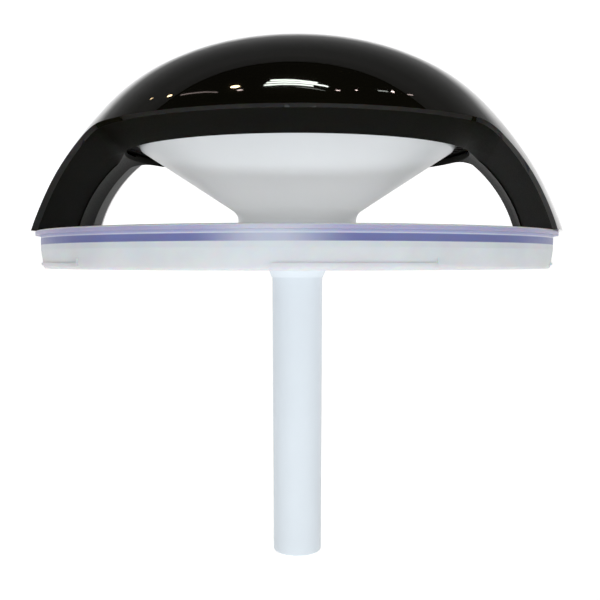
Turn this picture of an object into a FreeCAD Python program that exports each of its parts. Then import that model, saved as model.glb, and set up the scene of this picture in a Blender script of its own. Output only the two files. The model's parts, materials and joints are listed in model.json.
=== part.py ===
"""Drive head of a tabletop water-bowl air washer, in millimetres.

A gloss dome cover stands on two wide legs over a white funnel. A fan in the funnel's mouth draws room air
in through the ring gap under the dome and blows it down the stem into a bowl of water; a small rotor at the
stem's foot, on the same spindle, stirs the water. The washed air leaves through slots in the round clear
lid. The lid's skirt drops into the bowl and turns under five bayonet lugs.

Frame: Z is the spindle axis, up. Z = 0 is the underside of the lid's lip, which rests on the bowl's rim.
X runs through the two legs; -Y is the front.
"""
import FreeCAD
import Part

import math
import os

V = FreeCAD.Vector
UP = V(0, 0, 1)
ORIGIN = V(0, 0, 0)

# ---- driving dimensions --------------------------------------------------------------------------
LIP_RADIUS = 114.5
LIP_THICKNESS = 1.9
DECK_THICKNESS = 2.5
SPIGOT_RADIUS = 112.3
SPIGOT_LENGTH = 6.0
SKIRT_DEPTH = 13.8
SKIRT_FOOT_RADIUS = 111.2
LID_WALL = 2.2

FOOT_RADIUS = 116.3
DOME_TOP = 86.5
COVER_WALL = 2.5
BRIM_RADIUS = 94.2
BRIM_Z = 44.0
HOLE_RADIUS = 77.0
HOLE_Z = 36.2
LEG_INNER_RADIUS = 99.8
LEG_RIDGE_HALF = 9.5
ARCH_FLARE = 0.18
ARCH_CORNER = 11.0

RIM_RADIUS = 70.5
RIM_TOP = 48.0
NECK_RADIUS = 26.9
CONE_SLOPE = 1.545
CONE_APEX_Z = -6.9
HOUSING_WALL = 2.3
EAR_RADIUS = 73.4
EAR_THICKNESS = 2.4

STEM_TOP_RADIUS = 11.5
STEM_FOOT_RADIUS = 10.95
STEM_BORE = 8.9
STEM_FOOT_Z = -144.2
COLLAR_RADIUS = 15.5

SHAFT_RADIUS = 1.5
FAN_RADIUS = 65.0
FAN_BLADES = 7
FAN_Z = 50.0
MOTOR_RADIUS = 14.0
MOTOR_FLOOR = 11.0
MOTOR_TOP = 36.0
MOUNT_UNDER = 37.5
MOUNT_TOP = 40.1
LEAD_RADIUS = 0.7
BOSS_RADIUS = 3.0
PILOT_RADIUS = 1.2
CLEAR_RADIUS = 1.7

BUTTON_RADIUS = 8.0
BUTTON_FLANGE_TOP = 78.7
BOARD_Z = 66.0
BOARD_THICKNESS = 1.6

JACK_Z = 62.0
JACK_FLOOR = 68.0
JACK_POCKET = 7.0

# ---- places worked out from the driving dimensions -----------------------------------------------
DECK_TOP = LIP_THICKNESS
DECK_UNDER = DECK_TOP - DECK_THICKNESS
GASKET_THICKNESS = 1.0
NECK_FLOOR = DECK_TOP + GASKET_THICKNESS
NECK_PLATE = 2.5
STEM_FLANGE_Z = NECK_FLOOR + NECK_PLATE
STEM_FLANGE_THICKNESS = 2.0
RIM_Z = RIM_RADIUS / CONE_SLOPE + CONE_APEX_Z
NECK_Z = NECK_RADIUS / CONE_SLOPE + CONE_APEX_Z
CONE_SPREAD = HOUSING_WALL * math.sqrt(1 + CONE_SLOPE ** 2)
BOARD_TOP = BOARD_Z + BOARD_THICKNESS
RUNNING_GAP = 0.05
BASE_UNDER = 2.2 - SKIRT_DEPTH
BASE_TOP = BASE_UNDER + 2.0
ROTOR_Z = STEM_FOOT_Z + 2.5
FOOT_BUSH_Z = STEM_FOOT_Z + 12.0


def polar(radius, degrees):
    angle = math.radians(degrees)
    return radius * math.cos(angle), radius * math.sin(angle)


def evenly(radius, count, start):
    """Places on a circle, evenly spaced from the start angle."""
    return [polar(radius, start + 360.0 * i / count) for i in range(count)]


FOOT_SCREWS = [(x, y) for x in (-105.0, 105.0) for y in (-12, 12)]
BASE_SCREWS = evenly(86, 4, 45)
HOUSING_SCREWS = evenly(EAR_RADIUS, 4, 45)
MOUNT_SCREWS = evenly(56.5, 4, 0)
MOTOR_SCREWS = evenly(8.5, 2, 135)
BOARD_SCREWS = evenly(26, 3, 15)
LAMP_LEAD_X = -107.0


# ---- shape helpers -------------------------------------------------------------------------------
def turned(points):
    """A solid of revolution about Z from (radius, height) corners."""
    wire = Part.makePolygon([V(r, 0, z) for r, z in points] + [V(points[0][0], 0, points[0][1])])
    return Part.Face(wire).revolve(ORIGIN, UP, 360)


def cylinder(radius, z0, z1, x=0.0, y=0.0):
    return Part.makeCylinder(radius, z1 - z0, V(x, y, z0), UP)


def ring(inner, outer, z0, z1, x=0.0, y=0.0):
    return cylinder(outer, z0, z1, x, y).cut(cylinder(inner, z0 - 1, z1 + 1, x, y))


def box(x0, x1, y0, y1, z0, z1):
    return Part.makeBox(x1 - x0, y1 - y0, z1 - z0, V(x0, y0, z0))


def turn(shape, degrees):
    copy = shape.copy()
    copy.rotate(ORIGIN, UP, degrees)
    return copy


def around(shape, count, start=0.0):
    """Copies of a shape, evenly spaced about Z."""
    return [turn(shape, start + 360.0 * i / count) for i in range(count)]


def along_y(radius, y0, y1):
    """A cylinder on the power jack's axis."""
    return Part.makeCylinder(radius, y1 - y0, V(0, y0, JACK_Z), V(0, 1, 0))


def circle_edges(shape, radius, z):
    rounds = [e for e in shape.Edges if e.Curve.TypeId == "Part::GeomCircle"]
    return [e for e in rounds if abs(e.Curve.Radius - radius) < 0.01 and abs(e.BoundBox.ZMin - z) < 0.05]


def mesh_volume(shape):
    points, triangles = shape.tessellate(0.05)
    return sum(points[a].dot(points[b].cross(points[c])) for a, b, c in triangles) / 6.0


def group(shapes):
    return Part.makeCompound(shapes)


def save(name, shape):
    solids = shape.Solids
    assert solids and all(s.isValid() and s.isClosed() for s in solids), name
    shape = solids[0] if len(solids) == 1 else group(solids)
    shape.exportStep("parts/" + name + ".step")
    low, high = shape.BoundBox.ZMin, shape.BoundBox.ZMax
    print(f"{name}: {len(solids)} solids, {shape.Volume / 1000:.2f} cm3, z {low:.1f} to {high:.1f}")


def screw(x, y, head_z, length, thread=1.5, head=2.9, head_height=1.8):
    """A pan-head screw that points up, its head's seat at head_z."""
    shank = cylinder(thread, head_z, head_z + length, x, y)
    cap = cylinder(head, head_z - head_height, head_z, x, y)
    cap = cap.makeFillet(0.6, circle_edges(cap, head, head_z - head_height))
    slot_depth = head_height * 0.55
    cross = box(x - head * 0.62, x + head * 0.62, y - 0.35, y + 0.35, head_z - head_height - 1,
                head_z - head_height + slot_depth)
    second = cross.copy()
    second.rotate(V(x, y, 0), UP, 90)
    return cap.cut(cross).cut(second).fuse(shank).removeSplitter()


def lead(points, radius):
    """A round cable along straight runs joined by tangent arcs, each as large as its two runs allow."""
    corners = [V(*p) for p in points]
    edges, start = [], corners[0]
    for before, corner, after in zip(corners, corners[1:], corners[2:]):
        towards, away = (before - corner), (after - corner)
        half_turn = (math.pi - towards.getAngle(away)) / 2
        back = 0.45 * min(towards.Length, away.Length)
        arc_radius = back / math.tan(half_turn)
        first = corner + towards.normalize() * back
        last = corner + away.normalize() * back
        bisector = (towards + away).normalize()
        middle = corner + bisector * (arc_radius / math.cos(half_turn) - arc_radius)
        edges.append(Part.LineSegment(start, first).toShape())
        edges.append(Part.Arc(first, middle, last).toShape())
        start = last
    edges.append(Part.LineSegment(start, corners[-1]).toShape())
    path = Part.Wire(edges)
    direction = corners[1] - corners[0]
    section = Part.Wire(Part.makeCircle(radius, corners[0], direction))
    tube = path.makePipeShell([section], True, True)
    expected = math.pi * radius ** 2 * path.Length
    assert abs(tube.Volume / expected - 1) < 0.01, (tube.Volume, expected)
    return tube


# ---- cover ---------------------------------------------------------------------------------------
def dome_curve():
    """The dome's outer profile: flat on top, turning down to the foot."""
    curve = Part.BSplineCurve()
    points = [(0, DOME_TOP), (50, 78.6), (75, 64.3), (90, 49.2), (100, 35.8), (108, 22.2), (114, 8.4),
              (FOOT_RADIUS, DECK_TOP)]
    foot_slope = V(0.32, 0, -1)
    curve.interpolate(Points=[V(r, 0, z) for r, z in points],
                      InitialTangent=V(1, 0, 0) * 60, FinalTangent=foot_slope * 20)
    return curve


def dome_solid(inset):
    """Everything under the dome, its skin moved in by inset."""
    outer = dome_curve()
    if inset:
        steps = 14
        low, high = outer.FirstParameter, outer.LastParameter
        moved = []
        for i in range(steps + 1):
            at = low + (high - low) * i / steps
            tangent = outer.tangent(at)[0]
            moved.append(outer.value(at) - V(-tangent.z, 0, tangent.x) * inset)
        moved[0].x = 0
        curve = Part.BSplineCurve()
        curve.interpolate(Points=moved)
    else:
        curve = outer
    edge = curve.toShape()
    top, foot = curve.value(curve.FirstParameter), curve.value(curve.LastParameter)
    floor_z = DECK_TOP - (4.0 if inset else 0.0)
    corners = [foot, V(foot.x, 0, floor_z), V(0, 0, floor_z), top]
    lines = [Part.makeLine(a, b) for a, b in zip(corners, corners[1:]) if a.distanceToPoint(b) > 1e-6]
    return Part.Face(Part.Wire([edge] + lines)).revolve(ORIGIN, UP, 360)


def ridge_arc(grow):
    """The legs' inner line, from the foot up to the round hole that the funnel stands in."""
    foot = V(LEG_INNER_RADIUS + grow, 0, DECK_TOP)
    middle = V(87.8 + grow * 0.88, 0, 26.0 + grow * 0.47)
    top = V(HOLE_RADIUS + grow * 0.78, 0, HOLE_Z + grow * 0.62)
    return Part.Arc(foot, middle, top)


def funnel_space(grow=0.0):
    """The round space between the legs and under the hole's edge."""
    arc = ridge_arc(grow)
    foot, top = arc.StartPoint, arc.EndPoint
    below = DECK_TOP - 6.0
    corners = [top, V(0, 0, top.z), V(0, 0, below), V(foot.x + 1.2, 0, below), foot]
    lines = [Part.makeLine(a, b) for a, b in zip(corners, corners[1:])]
    return Part.Face(Part.Wire([arc.toShape()] + lines)).revolve(ORIGIN, UP, 360)


def arch_section(y, spread):
    """The opening's outline at one depth: the ridge line moved out by spread, mirrored left to right."""
    arc = ridge_arc(spread)
    foot, top = arc.StartPoint, arc.EndPoint
    middle = arc.value((arc.FirstParameter + arc.LastParameter) / 2)
    crest = V(top.x - 24, 0, top.z + 18.5)
    below = DECK_TOP - 6.0

    def at(x, z):
        return V(x, y, z)
    right = Part.Arc(at(foot.x, foot.z), at(middle.x, middle.z), at(top.x, top.z)).toShape()
    left = Part.Arc(at(-top.x, top.z), at(-middle.x, middle.z), at(-foot.x, foot.z)).toShape()
    return Part.Wire([
        Part.makeLine(at(-foot.x, below), at(foot.x, below)),
        Part.makeLine(at(foot.x, below), at(foot.x, foot.z)),
        right,
        Part.makeLine(at(top.x, top.z), at(crest.x, crest.z)),
        Part.makeLine(at(crest.x, crest.z), at(-crest.x, crest.z)),
        Part.makeLine(at(-crest.x, crest.z), at(-top.x, top.z)),
        left,
        Part.makeLine(at(-foot.x, foot.z), at(-foot.x, below)),
    ])


def scallop(grow=0.0):
    """The front opening as a tool: a flared arch under a shallow cone, its corners rounded unless grown."""
    reach = 130.0
    near, far = -LEG_RIDGE_HALF + grow, -reach
    sides = Part.makeLoft([arch_section(near, grow),
                           arch_section(far, grow + ARCH_FLARE * (reach - LEG_RIDGE_HALF))], True, True)
    slope = (BRIM_Z - HOLE_Z) / (BRIM_RADIUS - HOLE_RADIUS)
    lift = grow * math.sqrt(1 + slope ** 2)
    wide = 150.0
    apex_z = HOLE_Z - slope * HOLE_RADIUS + lift
    roof = turned([(0, DECK_TOP - 8), (wide, DECK_TOP - 8), (wide, apex_z + slope * wide), (0, apex_z)])
    tool = sides.common(roof)
    if grow:
        return tool
    corner_edges = [e for e in tool.Edges
                    if e.BoundBox.ZMin > HOLE_Z - 12 and e.BoundBox.YLength > 60
                    and abs(e.BoundBox.Center.x) > 40]
    return tool.makeFillet(ARCH_CORNER, corner_edges)


def cover_and_liner():
    """The gloss outer skin, and the satin liner that closes its underside and the legs' inner faces."""
    solid, hollow = dome_solid(0), dome_solid(COVER_WALL)
    front = scallop()
    tools = [funnel_space(), front, turn(front, 180)]
    body = solid
    for tool in tools:
        body = body.cut(tool)
    skin = body.cut(hollow)
    front_grown = scallop(COVER_WALL)
    grown = funnel_space(COVER_WALL + 0.6).fuse([front_grown, turn(front_grown, 180)])
    liner = body.common(hollow).common(grown).cut(cylinder(HOLE_RADIUS, HOLE_Z - 10, DOME_TOP))
    assert abs(mesh_volume(liner) / liner.Volume - 1) < 0.005, "the liner's faces are sound"
    return skin, liner, body


def top_cover(skin, liner, body):
    """The skin with its screw bosses, the button's guide and the power jack's pocket."""
    inside = dome_solid(COVER_WALL / 2)
    for low, places in ((RIM_TOP, HOUSING_SCREWS), (BOARD_TOP, BOARD_SCREWS)):
        for x, y in places:
            skin = skin.fuse(cylinder(BOSS_RADIUS, low, DOME_TOP, x, y).common(inside))
            skin = skin.cut(cylinder(PILOT_RADIUS, low - 1, low + 9, x, y))
    for x, y in FOOT_SCREWS:
        out = math.copysign(8.0, x)
        rib = box(min(x, x + out), max(x, x + out), y - 1, y + 1, DECK_TOP, DECK_TOP + 11)
        boss = cylinder(BOSS_RADIUS, DECK_TOP, DECK_TOP + 11, x, y).fuse(rib).common(body).cut(liner)
        skin = skin.fuse(boss).cut(cylinder(PILOT_RADIUS, DECK_TOP - 1, DECK_TOP + 9.5, x, y))
    guide = cylinder(BUTTON_RADIUS + 2.2, BUTTON_FLANGE_TOP + 0.3, DOME_TOP).common(inside)
    skin = skin.fuse(guide).cut(cylinder(BUTTON_RADIUS + 0.3, BUTTON_FLANGE_TOP - 8, DOME_TOP + 5))
    pocket = along_y(JACK_POCKET + 2, JACK_FLOOR - 2, 100).common(inside)
    skin = skin.fuse(pocket).cut(along_y(JACK_POCKET, JACK_FLOOR, 100))
    skin = skin.cut(along_y(4.1, JACK_FLOOR - 9, 100))
    return skin.removeSplitter()


# ---- funnel --------------------------------------------------------------------------------------
def funnel_outline(inset):
    """Corners of the funnel's outside, or of its inside when inset is the wall."""
    spread = inset * math.sqrt(1 + CONE_SLOPE ** 2)
    neck = NECK_RADIUS - inset
    rim = RIM_RADIUS - inset
    neck_z = (neck + spread) / CONE_SLOPE + CONE_APEX_Z
    rim_z = (rim + spread) / CONE_SLOPE + CONE_APEX_Z
    floor_z = NECK_FLOOR + (NECK_PLATE if inset else 0)
    top_z = RIM_TOP + (1 if inset else 0)
    return [(0, floor_z), (neck, floor_z), (neck, neck_z), (rim, rim_z), (rim, top_z), (0, top_z)]


def funnel_housing():
    outside = turned(funnel_outline(0))
    outside = outside.makeFillet(5.0, circle_edges(outside, NECK_RADIUS, NECK_Z))
    outside = outside.makeFillet(2.2, circle_edges(outside, RIM_RADIUS, RIM_Z))
    inside = turned(funnel_outline(HOUSING_WALL))
    shell = outside.cut(inside)
    for x, y in MOUNT_SCREWS:
        boss = cylinder(3.4, 24, MOUNT_UNDER, x, y).common(outside)
        shell = shell.fuse(boss).cut(cylinder(PILOT_RADIUS, 32.4, MOUNT_UNDER + 1, x, y))
    ear_under = RIM_TOP - EAR_THICKNESS
    ear = cylinder(3.6, ear_under, RIM_TOP, EAR_RADIUS)
    ear = ear.fuse(box(RIM_RADIUS - 1, EAR_RADIUS, -3.6, 3.6, ear_under, RIM_TOP))
    ear = ear.cut(cylinder(RIM_RADIUS - HOUSING_WALL, 0, 60)).cut(cylinder(CLEAR_RADIUS, 0, 60, EAR_RADIUS))
    shell = shell.fuse(around(ear, 4, 45))
    flange = turned([(NECK_RADIUS - 1, NECK_FLOOR), (NECK_RADIUS + 2.2, NECK_FLOOR),
                     (NECK_RADIUS + 0.6, NECK_FLOOR + 1.6), (NECK_RADIUS - 1, NECK_FLOOR + 3.0)])
    return shell.fuse(flange).cut(cylinder(COLLAR_RADIUS + 0.2, 0, 20)).removeSplitter()


def inlet_grille():
    """Fine radial bars across the ring gap, between a ring on the liner and one round the rim."""
    gap_in, gap_out = RIM_RADIUS, HOLE_RADIUS + 3.2
    z0, z1 = 40.55, 41.8
    bar = box(gap_in + 0.6, gap_out - 0.6, -0.7, 0.7, z0, z1)
    parts = [ring(gap_in, gap_in + 1.2, z0, z1), ring(gap_out - 3.4, gap_out, z0, z1)] + around(bar, 72)
    return parts[0].multiFuse(parts[1:]).removeSplitter()


# ---- spindle and motor ---------------------------------------------------------------------------
BELL_FLOOR = MOTOR_TOP - 3.2
CAN_TOP = MOTOR_TOP - 2.0


def motor_can():
    inner = MOTOR_RADIUS - 1
    can = turned([(3.6, MOTOR_FLOOR), (MOTOR_RADIUS, MOTOR_FLOOR), (MOTOR_RADIUS, CAN_TOP), (inner, CAN_TOP),
                  (inner, MOTOR_FLOOR + 1.2), (3.6, MOTOR_FLOOR + 1.2)])
    slot = box(6.2, 11.0, -1.6, 1.6, MOTOR_FLOOR - 1, MOTOR_FLOOR + 3)
    return can.cut(group(around(slot, 4)))


def motor_end_bell():
    """The motor's top cap, with slots for the brush arms and threads for the two motor screws."""
    inner = MOTOR_RADIUS - 1.05
    bell = turned([(3.6, BELL_FLOOR), (inner, BELL_FLOOR), (inner, CAN_TOP), (MOTOR_RADIUS, CAN_TOP),
                   (MOTOR_RADIUS, MOTOR_TOP), (3.6, MOTOR_TOP)])
    arm_slot = box(7.2, 9.8, -1.1, 1.1, BELL_FLOOR - 1, MOTOR_TOP + 1)
    threads = [cylinder(0.95, BELL_FLOOR - 1, MOTOR_TOP + 1, x, y) for x, y in MOTOR_SCREWS]
    return bell.cut(group(around(arm_slot, 2, 45) + threads))


def motor_magnets():
    sector = ring(10.9, 12.9, 14, 30)
    gap = box(-20, 20, -3.0, 3.0, 10, 40)
    return sector.cut(gap)


def motor_bushes():
    low = ring(SHAFT_RADIUS + RUNNING_GAP, 3.6, MOTOR_FLOOR - 1.5, MOTOR_FLOOR + 1.8)
    high = ring(SHAFT_RADIUS + RUNNING_GAP, 3.6, BELL_FLOOR, MOTOR_TOP)
    return group([low, high])


def motor_brushes():
    """Two arms that press on the commutator, each with a terminal up through the end bell."""
    arm = box(3.65, 9.6, -0.9, 0.9, BELL_FLOOR - 1.5, BELL_FLOOR - 0.2)
    terminal = box(7.4, 9.6, -0.9, 0.9, BELL_FLOOR - 0.2, MOUNT_TOP + 1.4)
    return group(around(arm.fuse(terminal).removeSplitter(), 2, 45))


def rotor_core():
    core = ring(SHAFT_RADIUS, 10.4, 15, 29)
    slot = box(4.6, 9.0, -2.0, 2.0, 10, 40).fuse(box(8.0, 12, -0.8, 0.8, 10, 40))
    return core.cut(group(around(slot, 5)))


def rotor_windings():
    coil = box(5.0, 8.8, -1.7, 1.7, 13.8, 30.2)
    coil = coil.makeFillet(0.8, [e for e in coil.Edges if abs(e.BoundBox.XLength - 3.8) < 0.01])
    return group(around(coil, 5))


def commutator():
    drum = ring(SHAFT_RADIUS, 3.35, 29, BELL_FLOOR - 0.1)
    return drum.cut(group(around(box(2.9, 4, -0.2, 0.2, 29.8, 40), 5, 36)))


def fan_impeller():
    """Seven pitched blades on a cupped hub."""
    top = FAN_Z + 8
    hub = turned([(SHAFT_RADIUS, FAN_Z), (15, FAN_Z), (15, 43.2), (17, 43.2), (17, top - 3.5), (13, top),
                  (SHAFT_RADIUS, top)])
    hub = hub.fuse(ring(SHAFT_RADIUS, 4.0, 44.5, FAN_Z + 0.5))
    blade = box(15.5, FAN_RADIUS + 5, -14, 14, -0.8, 0.8)
    blade.rotate(ORIGIN, V(1, 0, 0), 24)
    blade.translate(V(0, 0, FAN_Z))
    sweep = ring(15.5, FAN_RADIUS, 40, 60)
    blade = blade.common(sweep)
    parts = around(blade, FAN_BLADES)
    return hub.multiFuse(parts).removeSplitter()


def shaft_coupling():
    sleeve = ring(SHAFT_RADIUS, 4.6, -7, 7)
    hole = Part.makeCylinder(1.0, 8, V(0, 0, 0), V(1, 0, 0))
    for z in (-3.8, 3.8):
        cutter = hole.copy()
        cutter.translate(V(0, 0, z))
        sleeve = sleeve.cut(cutter)
    return sleeve


def grub_screws():
    screws = []
    for z in (-3.8, 3.8):
        screws.append(Part.makeCylinder(0.97, 3.0, V(SHAFT_RADIUS, 0, z), V(1, 0, 0)))
    return group(screws)


def water_rotor():
    """Four pitched paddles on a hub, just inside the stem's mouth."""
    hub = ring(SHAFT_RADIUS, 3.2, ROTOR_Z, ROTOR_Z + 8.5)
    paddle = box(2.8, 7.9, -0.6, 0.6, ROTOR_Z, ROTOR_Z + 7)
    paddle.rotate(V(0, 0, ROTOR_Z + 3.5), V(1, 0, 0), 18)
    paddle = paddle.common(ring(2.8, 7.9, ROTOR_Z, ROTOR_Z + 7.2))
    return hub.multiFuse(around(paddle, 4)).removeSplitter()


def motor_mount():
    """Spider that carries the motor in the funnel's mouth."""
    outer = ring(52.5, 60.2, MOUNT_UNDER, MOUNT_TOP)
    hub = ring(4.0, 16.5, MOTOR_TOP, MOUNT_TOP)
    arm = box(14, 54, -3.5, 3.5, MOUNT_UNDER, MOUNT_TOP)
    spider = outer.multiFuse([hub] + around(arm, 4, 45)).removeSplitter()
    holes = [cylinder(CLEAR_RADIUS, 30, 45, x, y) for x, y in MOUNT_SCREWS]
    holes += [cylinder(1.15, 30, 45, x, y) for x, y in MOTOR_SCREWS]
    holes += around(box(7.0, 10.0, -1.4, 1.4, 30, 45), 2, 45)
    return spider.cut(group(holes))


# ---- stem ----------------------------------------------------------------------------------------
def stem_tube():
    """The white down-tube: collar and flange on top, a flare under the lid, a slight taper to the foot."""
    under = -SKIRT_DEPTH
    flare = 4.2
    top = STEM_FLANGE_Z + STEM_FLANGE_THICKNESS
    outside = turned([(0, STEM_FOOT_Z), (STEM_FOOT_RADIUS, STEM_FOOT_Z), (STEM_TOP_RADIUS, under),
                      (COLLAR_RADIUS, under), (COLLAR_RADIUS, STEM_FLANGE_Z), (20, STEM_FLANGE_Z),
                      (20, top), (0, top)])
    inner = STEM_TOP_RADIUS - 0.5
    cove = turned([(inner, under), (STEM_TOP_RADIUS + flare, under), (STEM_TOP_RADIUS + 1.5, under - 1.4),
                   (STEM_TOP_RADIUS + 0.3, under - flare), (inner, under - flare)])
    outside = outside.fuse(cove).removeSplitter()
    outside = outside.makeFillet(1.1, circle_edges(outside, STEM_FOOT_RADIUS, STEM_FOOT_Z))
    bore = turned([(0, STEM_FOOT_Z - 1), (STEM_BORE, STEM_FOOT_Z - 1), (STEM_BORE, under),
                   (13.0, top + 0.01), (0, top + 0.01)])
    return outside.cut(bore)


def stem_foot_bush():
    """Three-armed bush that steadies the drive shaft above the water rotor."""
    z0, z1 = FOOT_BUSH_Z, FOOT_BUSH_Z + 8
    shell = ring(STEM_BORE - 1.2, STEM_BORE - 0.02, z0, z1)
    core = ring(SHAFT_RADIUS + RUNNING_GAP, 3.4, z0, z1)
    arm = box(3.0, STEM_BORE - 0.8, -0.7, 0.7, z0, z1)
    return shell.multiFuse([core] + around(arm, 3)).removeSplitter()


def stem_lock_ring():
    nut = ring(COLLAR_RADIUS + 0.05, 22, DECK_UNDER - 4, DECK_UNDER)
    notch = box(20.6, 24, -2, 2, -20, 5)
    return nut.cut(group(around(notch, 8)))


# ---- lid -----------------------------------------------------------------------------------------
LUG_COUNT = 5
LUG_START = 228.0
LUG_SPAN = 30.0


def sector_ring(inner, outer, z0, z1, start, span):
    """A ring's arc from start, through span degrees."""
    blank = Part.makeCylinder(outer, z1 - z0, V(0, 0, z0), UP, span).cut(cylinder(inner, z0 - 1, z1 + 1))
    return turn(blank, start)


def vent_slots(z0, z1):
    """Radial slots with round ends, for the washed air."""
    inner, outer, half = 40.0, 66.0, 2.1
    slot = box(inner, outer, -half, half, z0, z1)
    slot = slot.fuse([cylinder(half, z0, z1, inner), cylinder(half, z0, z1, outer)])
    return group(around(slot, 30, 6))


def lid():
    """Clear deck and lip, with a skirt that drops into the bowl, five bayonet lugs and four bosses below."""
    foot_z = -SKIRT_DEPTH
    outside = turned([(0, DECK_TOP), (LIP_RADIUS, DECK_TOP), (LIP_RADIUS, 0), (SPIGOT_RADIUS, 0),
                      (SPIGOT_RADIUS, -SPIGOT_LENGTH), (SKIRT_FOOT_RADIUS, foot_z), (0, foot_z)])
    outside = outside.makeFillet(0.6, circle_edges(outside, LIP_RADIUS, DECK_TOP))
    outside = outside.makeFillet(1.1, circle_edges(outside, SKIRT_FOOT_RADIUS, foot_z))
    wide, narrow = SPIGOT_RADIUS - LID_WALL, SKIRT_FOOT_RADIUS - LID_WALL
    inside = turned([(0, DECK_UNDER), (wide, DECK_UNDER), (wide, -SPIGOT_LENGTH), (narrow, BASE_TOP),
                     (narrow, foot_z - 1), (0, foot_z - 1)])
    shell = outside.cut(inside)
    lug_top, lug_foot = -9.5, -12.5
    root = SKIRT_FOOT_RADIUS - 1
    lug = sector_ring(root, SPIGOT_RADIUS - 0.15, lug_foot, lug_foot + 1.3, -LUG_SPAN, LUG_SPAN)
    stop = sector_ring(root, SPIGOT_RADIUS - 0.05, lug_foot, lug_top, -0.25, 0.5)
    shell = shell.multiFuse(around(lug, LUG_COUNT, LUG_START) + around(stop, LUG_COUNT, LUG_START))
    bosses = [cylinder(4.0, BASE_TOP, DECK_UNDER + 0.5, x, y) for x, y in BASE_SCREWS]
    shell = shell.multiFuse(bosses)
    holes = [cylinder(CLEAR_RADIUS, -5, 5, x, y) for x, y in FOOT_SCREWS]
    holes += [cylinder(PILOT_RADIUS, BASE_UNDER, -3, x, y) for x, y in BASE_SCREWS]
    holes += [cylinder(COLLAR_RADIUS + 0.3, -5, 5), cylinder(1.6, -5, 5, LAMP_LEAD_X)]
    return shell.cut(group(holes)).cut(vent_slots(DECK_UNDER - 1, DECK_TOP + 1))


def neck_gasket():
    return ring(COLLAR_RADIUS + 0.5, NECK_RADIUS + 1.8, DECK_TOP, NECK_FLOOR)


def light_guide():
    """Tinted ring under the lip that the lamps shine into. It is cut away where the lamp lead passes."""
    guide = ring(104.0, SPIGOT_RADIUS - LID_WALL - 0.1, DECK_UNDER - 2.6, DECK_UNDER)
    cuts = [cylinder(3.6, -5, 0, x, y) for x, y in FOOT_SCREWS] + [cylinder(1.6, -5, 0, LAMP_LEAD_X)]
    return guide.cut(group(cuts))


LED_BOARD_TOP = DECK_UNDER - 3.4


def led_board():
    board = ring(100.0, 108.4, LED_BOARD_TOP - 1.2, LED_BOARD_TOP)
    return board.cut(group([cylinder(3.6, -10, 0, x, y) for x, y in FOOT_SCREWS]))


def leds():
    chip = box(104.6, 107.4, -1.4, 1.4, LED_BOARD_TOP, LED_BOARD_TOP + 0.7)
    return group(around(chip, 16, 11.25))


def base_plate():
    """Closes the lid from below, a little way up inside the skirt, with the same air slots."""
    plate = ring(COLLAR_RADIUS + 0.3, SKIRT_FOOT_RADIUS - LID_WALL - 0.15, BASE_UNDER, BASE_TOP)
    plate = plate.fuse(ring(COLLAR_RADIUS + 0.3, COLLAR_RADIUS + 2.4, BASE_UNDER, BASE_TOP + 3))
    holes = group([cylinder(CLEAR_RADIUS, BASE_UNDER - 1, BASE_TOP + 1, x, y) for x, y in BASE_SCREWS])
    return plate.cut(holes).cut(vent_slots(BASE_UNDER - 1, BASE_TOP + 1)).removeSplitter()


# ---- electrics -----------------------------------------------------------------------------------
SOCKET_TOP = BOARD_TOP + 4.0
SOCKET_R = 27.0


def control_board():
    board = cylinder(31, BOARD_Z, BOARD_TOP)
    holes = [cylinder(CLEAR_RADIUS, BOARD_Z - 1, BOARD_TOP + 1, x, y) for x, y in BOARD_SCREWS]
    return board.cut(group(holes))


def board_parts():
    """Driver chip, coil, two capacitors and the lead sockets, all on the board's top."""
    chip = box(9, 17, -9, 1, BOARD_TOP, BOARD_TOP + 1.8)
    coil = cylinder(4.0, BOARD_TOP, BOARD_TOP + 4.2, -15, 6)
    cans = [cylinder(2.6, BOARD_TOP, BOARD_TOP + 6.0, x, -17) for x in (3, 10)]
    socket = box(SOCKET_R - 2.5, SOCKET_R + 2.5, -4, 4, BOARD_TOP, SOCKET_TOP)
    return group([chip, coil] + cans + [turn(socket, angle) for angle in (45, 90, 180, 225)])


def button_switch():
    body = box(-3, 3, -3, 3, BOARD_TOP, BOARD_TOP + 4.0)
    return body.fuse(cylinder(1.7, BOARD_TOP + 4.0, BOARD_TOP + 5.4)).removeSplitter()


def power_button():
    """Cap flush with the dome, a stem down to the switch and a flange that keeps it in its guide."""
    cap = cylinder(BUTTON_RADIUS, 83.0, 95).common(dome_solid(0))
    rounds = [e for e in cap.Edges if abs(e.BoundBox.XLength - 2 * BUTTON_RADIUS) < 0.01]
    rim = [e for e in rounds if e.BoundBox.ZMin > DOME_TOP - 2]
    cap = cap.makeFillet(0.4, rim)
    stem = cylinder(2.4, 74.5, 83.5)
    flange = cylinder(BUTTON_RADIUS + 1.3, BUTTON_FLANGE_TOP - 1.5, BUTTON_FLANGE_TOP)
    skirt = ring(BUTTON_RADIUS - 1.5, BUTTON_RADIUS, 78.2, 83.5)
    return cap.multiFuse([stem, flange, skirt]).removeSplitter()


def button_spring():
    """A light coil spring from the board up to the button's flange."""
    wire, coil, low, high = 0.35, 5.2, BOARD_TOP + 0.35, 76.8
    helix = Part.makeHelix((high - low) / 4.0, high - low, coil)
    helix.translate(V(0, 0, low))
    section = Part.Wire(Part.makeCircle(wire, V(coil, 0, low), V(0, 1, 0)))
    return Part.Wire(helix.Edges).makePipeShell([section], True, True)


def power_jack():
    """A round low-voltage socket: a body behind the pocket's floor and a bush through it."""
    body = box(-5.5, 5.5, JACK_FLOOR - 9, JACK_FLOOR - 2, JACK_Z - 4.2, JACK_Z + 4.2)
    bush = along_y(4.0, JACK_FLOOR - 2, JACK_FLOOR + 3.6)
    return body.fuse(bush).cut(along_y(2.8, JACK_FLOOR - 7, JACK_FLOOR + 4)).removeSplitter()


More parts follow.
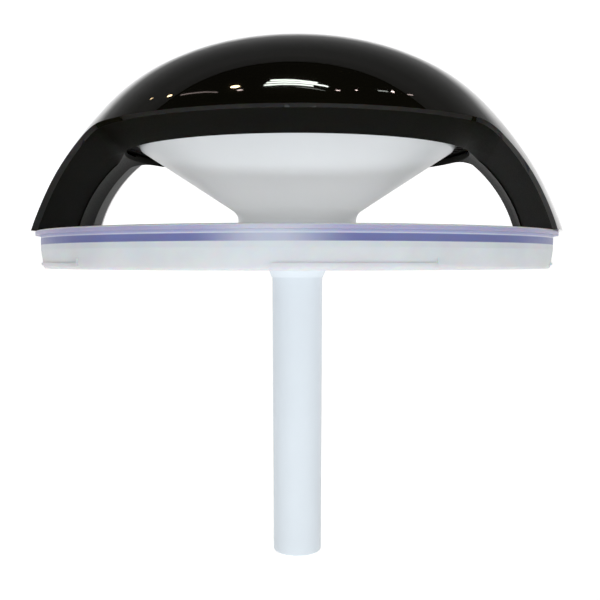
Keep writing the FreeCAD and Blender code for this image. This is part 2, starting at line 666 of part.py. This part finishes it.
def jack_nut():
    corners = evenly(5.8, 6, 0)
    face = Part.Face(Part.makePolygon([V(x, JACK_FLOOR, JACK_Z + z) for x, z in corners + corners[:1]]))
    return face.extrude(V(0, 2.2, 0)).cut(along_y(4.0, JACK_FLOOR - 1, JACK_FLOOR + 4))


def jack_pin():
    return along_y(1.0, JACK_FLOOR - 7, JACK_FLOOR + 1.4)


def jack_lead():
    """From the jack's tail to its socket on the board."""
    start_y = JACK_FLOOR - 9
    return lead([(0, start_y, JACK_Z + 2), (0, start_y - 12, JACK_Z + 2), (0, SOCKET_R, SOCKET_TOP + 7),
                 (0, SOCKET_R, SOCKET_TOP)], 1.1)


def motor_leads():
    """Two wires along the mount's arms, up inside the funnel's rim and back under the dome to the board."""
    wall = RIM_RADIUS - HOUSING_WALL - LEAD_RADIUS - 0.2
    arm_z = MOUNT_TOP + LEAD_RADIUS
    path = [(9.6, 0, arm_z), (wall - 3, 0, arm_z), (wall, 0, arm_z + 3), (wall, 0, 59), (46, 0, 72.5),
            (SOCKET_R, 0, 76), (SOCKET_R, 0, SOCKET_TOP)]
    return group(around(lead(path, LEAD_RADIUS), 2, 45))


def lamp_lead():
    """From the board, under the dome and down inside the left leg, to the lamp board under the deck."""
    path = [(-SOCKET_R, 0, SOCKET_TOP), (-SOCKET_R, 0, 76.5), (-52, 0, 71.5), (-80, 0, 50.5), (-96, 0, 28),
            (LAMP_LEAD_X, 0, 10), (LAMP_LEAD_X, 0, LED_BOARD_TOP)]
    return lead(path, LEAD_RADIUS)


# ---- screws --------------------------------------------------------------------------------------
def screws_up(places, seat_z, length, thread, head):
    """Screws that point up from below their seat."""
    return group([screw(x, y, seat_z, length, thread, head) for x, y in places])


def screws_down(places, seat_z, length, thread, head):
    """Screws that point down from above their seat."""
    turned_over = []
    for x, y in places:
        one = screw(x, y, 0, length, thread, head)
        one.rotate(V(x, y, 0), V(1, 0, 0), 180)
        one.translate(V(0, 0, seat_z))
        turned_over.append(one)
    return group(turned_over)


def main():
    os.makedirs("parts", exist_ok=True)
    skin, liner, body = cover_and_liner()
    save("top_cover", top_cover(skin, liner, body))
    save("arch_liner", liner)
    save("funnel_housing", funnel_housing())
    save("inlet_grille", inlet_grille())
    save("motor_mount", motor_mount())
    save("motor_can", motor_can())
    save("motor_end_bell", motor_end_bell())
    save("motor_magnets", motor_magnets())
    save("motor_bushes", motor_bushes())
    save("motor_brushes", motor_brushes())
    save("rotor_core", rotor_core())
    save("rotor_windings", rotor_windings())
    save("commutator", commutator())
    save("motor_shaft", cylinder(SHAFT_RADIUS, 0.2, 60.0))
    save("fan_impeller", fan_impeller())
    save("fan_nut", ring(SHAFT_RADIUS, 3.2, 58.0, 60.4))
    save("shaft_coupling", shaft_coupling())
    save("grub_screws", grub_screws())
    save("drive_shaft", cylinder(SHAFT_RADIUS, ROTOR_Z - 0.5, -0.2))
    save("water_rotor", water_rotor())
    save("stem_tube", stem_tube())
    save("stem_foot_bush", stem_foot_bush())
    save("stem_lock_ring", stem_lock_ring())
    save("neck_gasket", neck_gasket())
    save("lid", lid())
    save("light_guide", light_guide())
    save("led_board", led_board())
    save("leds", leds())
    save("base_plate", base_plate())
    save("control_board", control_board())
    save("board_parts", board_parts())
    save("button_switch", button_switch())
    save("power_button", power_button())
    save("button_spring", button_spring())
    save("power_jack", power_jack())
    save("jack_nut", jack_nut())
    save("jack_pin", jack_pin())
    save("jack_lead", jack_lead())
    save("motor_leads", motor_leads())
    save("lamp_lead", lamp_lead())
    save("cover_screws", screws_up(FOOT_SCREWS, DECK_UNDER, 10.5, PILOT_RADIUS, 2.6))
    save("base_screws", screws_up(BASE_SCREWS, BASE_UNDER, 8.0, PILOT_RADIUS, 2.6))
    save("housing_screws", screws_up(HOUSING_SCREWS, RIM_TOP - EAR_THICKNESS, 9.5, PILOT_RADIUS, 2.6))
    save("board_screws", screws_up(BOARD_SCREWS, BOARD_Z, 9.0, PILOT_RADIUS, 2.6))
    save("mount_screws", screws_down(MOUNT_SCREWS, MOUNT_TOP, 7.0, PILOT_RADIUS, 2.6))
    save("motor_screws", screws_down(MOTOR_SCREWS, MOUNT_TOP, 6.5, 0.95, 1.9))


main()
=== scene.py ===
import json
import math

import bpy
import numpy as np
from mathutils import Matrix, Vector

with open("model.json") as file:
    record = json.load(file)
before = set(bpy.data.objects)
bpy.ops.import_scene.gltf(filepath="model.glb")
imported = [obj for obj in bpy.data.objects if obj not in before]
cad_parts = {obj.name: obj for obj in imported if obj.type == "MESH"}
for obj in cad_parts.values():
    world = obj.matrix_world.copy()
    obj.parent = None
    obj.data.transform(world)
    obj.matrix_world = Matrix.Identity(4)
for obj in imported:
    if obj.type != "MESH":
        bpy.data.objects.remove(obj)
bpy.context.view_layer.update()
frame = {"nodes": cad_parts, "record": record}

# ---- node materials ----------------------------------------------------------------------------------


class Nodes:
    """Small helper that adds nodes to a material and links them."""

    def __init__(self, name):
        self.mat = bpy.data.materials.new(name)
        self.mat.use_nodes = True
        self.tree = self.mat.node_tree
        self.bsdf = self.tree.nodes["Principled BSDF"]
        self.coord = self.add("ShaderNodeTexCoord")

    def add(self, kind, inputs=None, **props):
        node = self.tree.nodes.new(kind)
        for key, value in props.items():
            setattr(node, key, value)
        for key, value in (inputs or {}).items():
            if isinstance(value, bpy.types.NodeSocket):
                self.tree.links.new(value, node.inputs[key])
            else:
                node.inputs[key].default_value = value
        return node

    def place(self):
        """X, Y and Z of the shaded point in the piece's own frame."""
        node = self.add("ShaderNodeSeparateXYZ", {"Vector": self.coord.outputs["Object"]})
        return node.outputs["X"], node.outputs["Y"], node.outputs["Z"]

    def point(self, **parts):
        return self.add("ShaderNodeCombineXYZ", parts).outputs["Vector"]

    def calc(self, operation, *values):
        return self.add("ShaderNodeMath", dict(enumerate(values)), operation=operation).outputs["Value"]

    def vector(self, operation, *values, out="Vector", **inputs):
        sockets = {**dict(enumerate(values)), **inputs}
        return self.add("ShaderNodeVectorMath", sockets, operation=operation).outputs[out]

    def mix(self, kind, factor, a, b):
        return self.add("ShaderNodeMix", {"Factor": factor, "A": a, "B": b}, data_type=kind).outputs["Result"]

    def noise(self, scale, detail=3.0, rough=0.5):
        node = self.add("ShaderNodeTexNoise", {"Vector": self.coord.outputs["Object"], "Scale": scale,
                                               "Detail": detail, "Roughness": rough})
        return node.outputs["Fac"]

    def ramp(self, source, stops, blend="LINEAR"):
        node = self.add("ShaderNodeValToRGB", {"Fac": source})
        ramp = node.color_ramp
        ramp.interpolation = blend
        while len(ramp.elements) < len(stops):
            ramp.elements.new(0.5)
        for element, (at, colour) in zip(ramp.elements, stops):
            element.position = at
            element.color = (*colour, 1.0)
        return node.outputs["Color"]

    def mottle(self, noise, dark, light):
        return self.ramp(noise, [(0.3, dark), (0.7, light)])

    def remap(self, source, old, new=(0.0, 1.0), **props):
        node = self.add("ShaderNodeMapRange", {"Value": source, "From Min": old[0], "From Max": old[1],
                                               "To Min": new[0], "To Max": new[1]}, **props)
        return node.outputs["Result"]

    def spread(self, noise, low, high):
        """A noise value, which stays near its middle, spread over low to high."""
        return self.remap(noise, (0.3, 0.7), (low, high))

    def bump(self, source, strength, distance, normal=None):
        node = self.add("ShaderNodeBump", {"Height": source, "Strength": strength, "Distance": distance})
        if normal is not None:
            self.tree.links.new(normal, node.inputs["Normal"])
        self.tree.links.new(node.outputs["Normal"], self.bsdf.inputs["Normal"])

    def set(self, **values):
        for key, value in values.items():
            socket = self.bsdf.inputs[key.replace("_", " ")]
            if isinstance(value, bpy.types.NodeSocket):
                self.tree.links.new(value, socket)
            else:
                socket.default_value = value


def shade(colour, factor):
    return tuple(min(1.0, c * factor) for c in colour)


def moulded(name, colour, rough, grain=900.0, depth=0.00002, metallic=0.0, tint=0.04, **extra):
    """A moulded or machined surface: slight colour mottling, uneven gloss and a fine grain."""
    n = Nodes(name)
    broad, fine = n.noise(35.0, 2.0), n.noise(grain, 3.0, 0.6)
    n.set(Base_Color=n.mottle(broad, shade(colour, 1 - tint), shade(colour, 1 + tint)),
          Roughness=n.spread(fine, rough * 0.9, rough * 1.1), Metallic=metallic, **extra)
    n.bump(fine, 0.3, depth)
    return n.mat


# the dome's outline as (radius, height) in millimetres, the same as the part's
DOME_OUTLINE = [(0, 86.5), (50, 78.6), (75, 64.3), (90, 49.2),
                (100, 35.8), (108, 22.2), (114, 8.4), (116.3, 1.9)]
NORMAL_STEPS = 28
ON_DOME = 0.985  # a surface this close to the dome's direction belongs to the dome


def dome_normal_stops():
    """Sideways and upward part of the dome's normal, from the axis (0) to the horizon (1)."""
    tilt = np.array([math.atan2(r, z) for r, z in DOME_OUTLINE])
    reach = np.array([math.hypot(r, z) for r, z in DOME_OUTLINE])
    powers = np.array([0, 2, 4, 6, 8])
    fit = np.linalg.lstsq(tilt[:, None] ** powers, reach, rcond=None)[0]
    stops = []
    for i in range(NORMAL_STEPS):
        at = i / (NORMAL_STEPS - 1)
        a = at * math.pi / 2
        rho = float((fit * a ** powers).sum())
        slope = float((fit[1:] * powers[1:] * a ** (powers[1:] - 1)).sum())
        side = rho * math.sin(a) - slope * math.cos(a)
        up = slope * math.sin(a) + rho * math.cos(a)
        size = math.hypot(side, up)
        stops.append((at, (side / size, up / size, 0.0)))
    return stops


def dome_normals(n):
    """The dome's true normal, so that its reflections don't follow the flats of the mesh."""
    x, y, z = n.place()
    flat = n.point(X=x, Y=y)
    angle = n.calc("ARCTAN2", n.vector("LENGTH", flat, out="Value"), z)
    share = n.calc("DIVIDE", angle, math.pi / 2)
    table = n.add("ShaderNodeSeparateColor", {"Color": n.ramp(share, dome_normal_stops(), "B_SPLINE")})
    outward = n.vector("SCALE", n.vector("NORMALIZE", flat), Scale=table.outputs["Red"])
    upward = n.point(Z=table.outputs["Green"])
    smooth = n.vector("NORMALIZE", n.vector("ADD", outward, upward))
    mesh = n.add("ShaderNodeNewGeometry").outputs["Normal"]
    on_dome = n.calc("GREATER_THAN", n.vector("DOT_PRODUCT", smooth, mesh, out="Value"), ON_DOME)
    return n.mix("VECTOR", on_dome, mesh, smooth)


def gloss_black(name, dome=False):
    """Polished black plastic with a brownish body, a very slight orange peel and faint haze marks."""
    n = Nodes(name)
    broad, haze = n.noise(14.0, 2.0), n.noise(60.0, 4.0, 0.55)
    n.set(Base_Color=n.mottle(broad, (0.0035, 0.003, 0.0012), (0.0055, 0.0048, 0.002)),
          Roughness=n.spread(haze, 0.02, 0.045), IOR=1.5)
    n.bump(broad, 0.015, 0.0004, dome_normals(n) if dome else None)
    return n.mat


def lid_plastic(name):
    """Frosted clear plastic that shows the tinted light ring as two violet bands at the lip, with painted
    highlight lines along the lip and painted paler bands near x = 0.
    """
    n = Nodes(name)
    x, _, z = n.place()
    violet, pale, frost = (0.215, 0.235, 0.49), (0.50, 0.51, 0.74), (0.82, 0.845, 0.87)
    # painted highlights: a bright line along the lip's lower edge, between the two violet bands, and a
    # near-white line along the lip's rounded top
    under_lip_glint, lip_top_glint = (0.72, 0.74, 0.84), (0.92, 0.93, 0.95)
    bands = [(-0.00404, frost), (-0.0038, violet), (-0.0014, violet), (-0.00116, under_lip_glint),
             (-0.00092, under_lip_glint), (-0.00074, pale), (0.00125, pale), (0.0015, lip_top_glint)]
    low, high = -0.005, 0.0019
    banded = n.ramp(n.remap(z, (low, high)), [((at - low) / (high - low), colour) for at, colour in bands])
    # painted light: the bands turn pale near x = 0, where the white neck behind the lid scatters light; being
    # tied to x, this stays at the front and back
    fade = n.remap(n.calc("ABSOLUTE", x), (0.003, 0.029), (0.62, 0.0), interpolation_type="SMOOTHSTEP")
    mixed = n.mix("RGBA", fade, banded, (0.8, 0.83, 0.88, 1.0))
    tone, fine = n.spread(n.noise(60.0, 3.0), 0.96, 1.03), n.noise(700.0, 3.0, 0.65)
    n.set(Base_Color=n.vector("MULTIPLY", mixed, tone), Roughness=n.spread(fine, 0.34, 0.46),
          Transmission_Weight=0.25, IOR=1.49, Subsurface_Weight=0.5, Subsurface_Scale=0.004)
    n.bump(fine, 0.2, 0.00002)
    return n.mat


def translucent(name, colour, rough, clear):
    """Frosted clear plastic: light passes through and spreads."""
    n = Nodes(name)
    broad, fine = n.noise(45.0, 3.0), n.noise(700.0, 3.0, 0.65)
    n.set(Base_Color=n.mottle(broad, shade(colour, 0.985), shade(colour, 1.01)),
          Roughness=n.spread(fine, rough * 0.85, rough * 1.15), Transmission_Weight=clear, IOR=1.49)
    n.bump(fine, 0.25, 0.00003)
    return n.mat


MOULDED = {
    "liner_satin": dict(colour=(0.0035, 0.0034, 0.0018), rough=0.5, grain=1400.0, tint=0.1,
                        Specular_IOR_Level=0.09),
    "housing_white": dict(colour=(0.80, 0.825, 0.845), rough=0.33, grain=1100.0, depth=0.00001, tint=0.008),
    "stem_white": dict(colour=(0.73, 0.79, 0.84), rough=0.36, grain=1100.0, depth=0.00001, tint=0.01),
    "grille_black": dict(colour=(0.02, 0.02, 0.018), rough=0.5),
    "mount_white": dict(colour=(0.75, 0.75, 0.73), rough=0.4),
    "motor_steel": dict(colour=(0.6, 0.6, 0.61), rough=0.3, grain=500.0, metallic=1.0),
    "bell_plastic": dict(colour=(0.78, 0.77, 0.7), rough=0.45),
    "magnet_dark": dict(colour=(0.03, 0.03, 0.032), rough=0.6, metallic=0.4, tint=0.15),
    "bush_bronze": dict(colour=(0.4, 0.22, 0.09), rough=0.5, metallic=1.0, tint=0.1),
    "contact_brass": dict(colour=(0.66, 0.46, 0.19), rough=0.3, metallic=1.0),
    "core_steel": dict(colour=(0.3, 0.3, 0.31), rough=0.45, grain=2200.0, metallic=1.0, tint=0.12),
    "winding_copper": dict(colour=(0.62, 0.22, 0.08), rough=0.28, grain=2600.0, depth=0.0001,
                           metallic=1.0, tint=0.12),
    "commutator_copper": dict(colour=(0.7, 0.33, 0.16), rough=0.25, metallic=1.0),
    "shaft_steel": dict(colour=(0.62, 0.62, 0.64), rough=0.2, grain=1800.0, metallic=1.0),
    "fan_plastic": dict(colour=(0.02, 0.02, 0.02), rough=0.4, tint=0.12),
    "nut_brass": dict(colour=(0.68, 0.5, 0.2), rough=0.28, metallic=1.0),
    "coupling_brass": dict(colour=(0.68, 0.5, 0.2), rough=0.28, metallic=1.0),
    "screw_dark": dict(colour=(0.06, 0.06, 0.065), rough=0.4, metallic=1.0),
    "rotor_white": dict(colour=(0.8, 0.8, 0.8), rough=0.4),
    "bush_white": dict(colour=(0.72, 0.74, 0.76), rough=0.42),
    "ring_white": dict(colour=(0.8, 0.8, 0.8), rough=0.42),
    "gasket_rubber": dict(colour=(0.25, 0.25, 0.26), rough=0.7, tint=0.1),
    "board_white": dict(colour=(0.8, 0.8, 0.78), rough=0.4),
    "board_green": dict(colour=(0.01, 0.12, 0.035), rough=0.35, tint=0.15),
    "component_black": dict(colour=(0.02, 0.02, 0.02), rough=0.5, tint=0.2),
    "switch_black": dict(colour=(0.02, 0.02, 0.02), rough=0.45, tint=0.15),
    "spring_steel": dict(colour=(0.55, 0.55, 0.57), rough=0.28, metallic=1.0),
    "jack_black": dict(colour=(0.012, 0.012, 0.012), rough=0.45, tint=0.15),
    "nut_steel": dict(colour=(0.66, 0.66, 0.67), rough=0.2, metallic=1.0),
    "pin_brass": dict(colour=(0.75, 0.6, 0.3), rough=0.22, metallic=1.0),
    "lead_black": dict(colour=(0.012, 0.012, 0.012), rough=0.45, tint=0.15),
    "lead_red": dict(colour=(0.4, 0.012, 0.01), rough=0.45, tint=0.1),
    "lead_white": dict(colour=(0.75, 0.75, 0.75), rough=0.45),
    "screw_steel": dict(colour=(0.6, 0.6, 0.61), rough=0.27, metallic=1.0),
}
TRANSLUCENT = {
    "guide_violet": dict(colour=(0.20, 0.19, 0.62), rough=0.25, clear=0.35),
    "led_clear": dict(colour=(0.8, 0.82, 0.95), rough=0.15, clear=0.6),
    "base_frosted": dict(colour=(0.80, 0.81, 0.84), rough=0.5, clear=0.3),
}
MATERIALS = {name: moulded(name, **look) for name, look in MOULDED.items()}
MATERIALS.update({name: translucent(name, **look) for name, look in TRANSLUCENT.items()})
MATERIALS["cover_gloss"] = gloss_black("cover_gloss", dome=True)
MATERIALS["button_gloss"] = gloss_black("button_gloss")
MATERIALS["lid_clear"] = lid_plastic("lid_clear")

SLOTS = {part["node"]: part["material_slot"] for part in frame["record"]["subparts"]}
for node, obj in frame["nodes"].items():
    obj.data.materials.clear()
    obj.data.materials.append(MATERIALS[SLOTS[node]])

# ---- stage -------------------------------------------------------------------------------------------


def add_mesh(name, verts, faces):
    mesh = bpy.data.meshes.new(name)
    mesh.from_pydata([tuple(v) for v in verts], [], faces)
    mesh.validate()
    mesh.update()
    mesh.shade_smooth()
    obj = bpy.data.objects.new(name, mesh)
    bpy.context.scene.collection.objects.link(obj)
    return obj


def sweep(depth_points, half_width, steps=2):
    """A sheet from (y, z) points, drawn out along X."""
    verts, faces = [], []
    for y, z in depth_points:
        for i in range(steps + 1):
            verts.append((half_width * (2.0 * i / steps - 1), y, z))
    row = steps + 1
    for j in range(len(depth_points) - 1):
        for i in range(steps):
            a = j * row + i
            faces.append((a, a + 1, a + 1 + row, a + row))
    return verts, faces


# floor, curve and back wall in one sheet
FLOOR_Z, FLOOR_FRONT = -0.42, -2.5
BACK_Y, BACK_TOP, BACK_HALF = 1.9, 5.6, 4.5
CURVE, CURVE_STEPS = 0.7, 16
bend_y, bend_z = BACK_Y - CURVE, FLOOR_Z + CURVE
cove = [(FLOOR_FRONT, FLOOR_Z), (bend_y, FLOOR_Z)]
for i in range(1, CURVE_STEPS + 1):
    a = math.pi / 2 * i / CURVE_STEPS
    cove.append((bend_y + CURVE * math.sin(a), bend_z - CURVE * math.cos(a)))
cove.append((BACK_Y, BACK_TOP))
backdrop = add_mesh("backdrop", *sweep(cove, BACK_HALF))

# (height in metres, glow, paper brightness): white behind the part, dim above, black past the top
BACK_LIGHT = 0.8
BACK_TONES = [(0.0, 1.0, 0.87), (0.85, 1.0, 0.87), (1.25, 0.12, 0.6), (1.8, 0.055, 0.45), (2.35, 0.035, 0.42),
              (3.0, 0.035, 0.45), (4.0, 0.052, 0.7), (5.3, 0.052, 0.75), (5.34, 0.0, 0.01)]
paper = Nodes("paper")
grain = paper.spread(paper.noise(6.0), 0.985, 1.01)
rise = paper.remap(paper.place()[2], (0.0, BACK_TOP))
glow = paper.ramp(rise, [(z / BACK_TOP, (g, g, g)) for z, g, _ in BACK_TONES])
tone = paper.ramp(rise, [(z / BACK_TOP, (t, t, t)) for z, _, t in BACK_TONES])
paper.set(Base_Color=paper.vector("MULTIPLY", tone, grain), Roughness=0.8,
          Emission_Color=(1.0, 1.0, 1.0, 1.0), Emission_Strength=paper.calc("MULTIPLY", glow, BACK_LIGHT))
backdrop.data.materials.append(paper.mat)

world = bpy.data.worlds.new("studio")
bpy.context.scene.world = world
world.use_nodes = True
world.node_tree.nodes["Background"].inputs["Color"].default_value = (1.0, 1.0, 1.0, 1.0)
world.node_tree.nodes["Background"].inputs["Strength"].default_value = 0.012

# ---- lights ------------------------------------------------------------------------------------------


def area_light(name, place, target, size, power, colour=(1.0, 1.0, 1.0), glossy=False, spin=0.0):
    """A soft light. A glossy one shows only in reflections, the others only light the surfaces."""
    data = bpy.data.lights.new(name, "AREA")
    data.shape = "ELLIPSE" if glossy and max(size) < 0.2 else "RECTANGLE"
    data.size, data.size_y = size
    data.energy = power
    data.color = colour
    obj = bpy.data.objects.new(name, data)
    obj.location = place
    obj.rotation_euler = (Vector(target) - Vector(place)).to_track_quat("-Z", "Y").to_euler()
    obj.rotation_euler.rotate_axis("Z", spin)
    obj.visible_glossy = glossy
    obj.visible_diffuse = not glossy
    obj.visible_transmission = not glossy
    obj.visible_camera = False
    bpy.context.scene.collection.objects.link(obj)
    return obj


def only_on(light, nodes):
    """Keeps a light to a few pieces; the others still cast their shadows."""
    group = bpy.data.collections.new(light.name + "_receivers")
    for node in nodes:
        group.objects.link(frame["nodes"][node])
    light.light_linking.receiver_collection = group


COOL = (0.93, 0.97, 1.0)
area_light("key", (-0.5, -1.3, 0.5), (0, 0, 0), (1.4, 1.0), 4.5)
area_light("fill", (1.3, -0.9, 0.2), (0, 0, 0), (1.2, 1.2), 2.5)
low_light = area_light("low", (0.09, -1.13, -0.38), (0, 0, 0.01), (0.12, 0.12), 6.0, COOL)
only_on(low_light, ["funnel_housing", "stem_tube", "top_cover", "arch_liner"])
front_light = area_light("front", (0.09, -1.13, 0.05), (0, 0, 0), (0.5, 0.3), 4.6, COOL)
only_on(front_light, ["lid"])
# light that the lid's deck throws back up at the funnel
area_light("bounce", (0, 0, 0.0025), (0, 0, 1), (0.16, 0.16), 0.042, (1.0, 0.975, 0.92))

# a window and small lamps overhead, seen only as reflections along the dome's front
CEILING = 1.25
WINDOW, WARM, PINK = (0.93, 1.0, 0.92), (1.0, 0.72, 0.4), (1.0, 0.8, 0.75)
# left end (x, y), right end (x, y), depth, power, colour
STREAKS = [
    ((-0.165, 0.062), (0.12, 0.040), 0.016, 0.34, WINDOW),
    ((-0.19, 0.034), (0.19, 0.016), 0.016, 0.44, WINDOW),
    ((-0.205, 0.005), (0.10, -0.005), 0.015, 0.34, WINDOW),
    ((-0.01, -0.030), (0.185, -0.042), 0.004, 0.012, WINDOW),
    ((-0.42, 0.081), (-0.36, 0.053), 0.026, 0.3, WARM),
    ((-0.38, 0.012), (-0.34, -0.004), 0.010, 0.018, PINK),
    ((-0.783, 0.320), (-0.512, 0.072), 0.008, 0.03, PINK),
    ((-0.89, 0.47), (-0.85, 0.42), 0.024, 0.10, WARM),
    ((-1.045, 0.715), (-1.015, 0.675), 0.016, 0.018, WARM),
    ((0.24, -0.008), (0.27, 0.0), 0.010, 0.016, PINK),
    ((0.358, 0.065), (0.374, 0.075), 0.010, 0.012, PINK),
    ((0.49, 0.177), (0.56, 0.247), 0.008, 0.014, WINDOW),
    ((0.575, 0.27), (0.595, 0.29), 0.018, 0.04, PINK),
    ((0.68, 0.375), (0.72, 0.435), 0.010, 0.012, PINK),
]
for (ax, ay), (bx, by), depth, power, colour in STREAKS:
    x, y = (ax + bx) / 2, (ay + by) / 2
    length, turn = math.hypot(bx - ax, by - ay), math.atan2(by - ay, bx - ax)
    area_light("streak", (x, y, CEILING), (x, y, 0), (length, depth), power, colour, True, turn)

# ---- camera ------------------------------------------------------------------------------------------
CAMERA_AZIMUTH = math.radians(4.5)
CAMERA_DISTANCE, CAMERA_HEIGHT = 0.394, -0.0105
SENSOR_MM = 36.0
FOCAL_PX, FRAME_PX = 860.0, 600.0
AXIS_PX, HORIZON_PX = 297.3, 260.7  # where the part's axis and the horizon fall in the frame

camera_data = bpy.data.cameras.new("camera")
camera_data.sensor_width = SENSOR_MM
camera_data.lens = SENSOR_MM * FOCAL_PX / FRAME_PX
camera_data.clip_start, camera_data.clip_end = 0.01, 50.0
camera = bpy.data.objects.new("camera", camera_data)
yaw = CAMERA_AZIMUTH - math.atan((FRAME_PX / 2 - AXIS_PX) / FOCAL_PX)
pitch = math.atan((FRAME_PX / 2 - HORIZON_PX) / FOCAL_PX)
camera.location = (CAMERA_DISTANCE * math.sin(CAMERA_AZIMUTH),
                   -CAMERA_DISTANCE * math.cos(CAMERA_AZIMUTH), CAMERA_HEIGHT)
camera.rotation_euler = (math.pi / 2 - pitch, 0, yaw)
bpy.context.scene.collection.objects.link(camera)
bpy.context.scene.camera = camera
bpy.context.scene.view_settings.view_transform = "Standard"
bpy.context.scene.view_settings.look = "None"
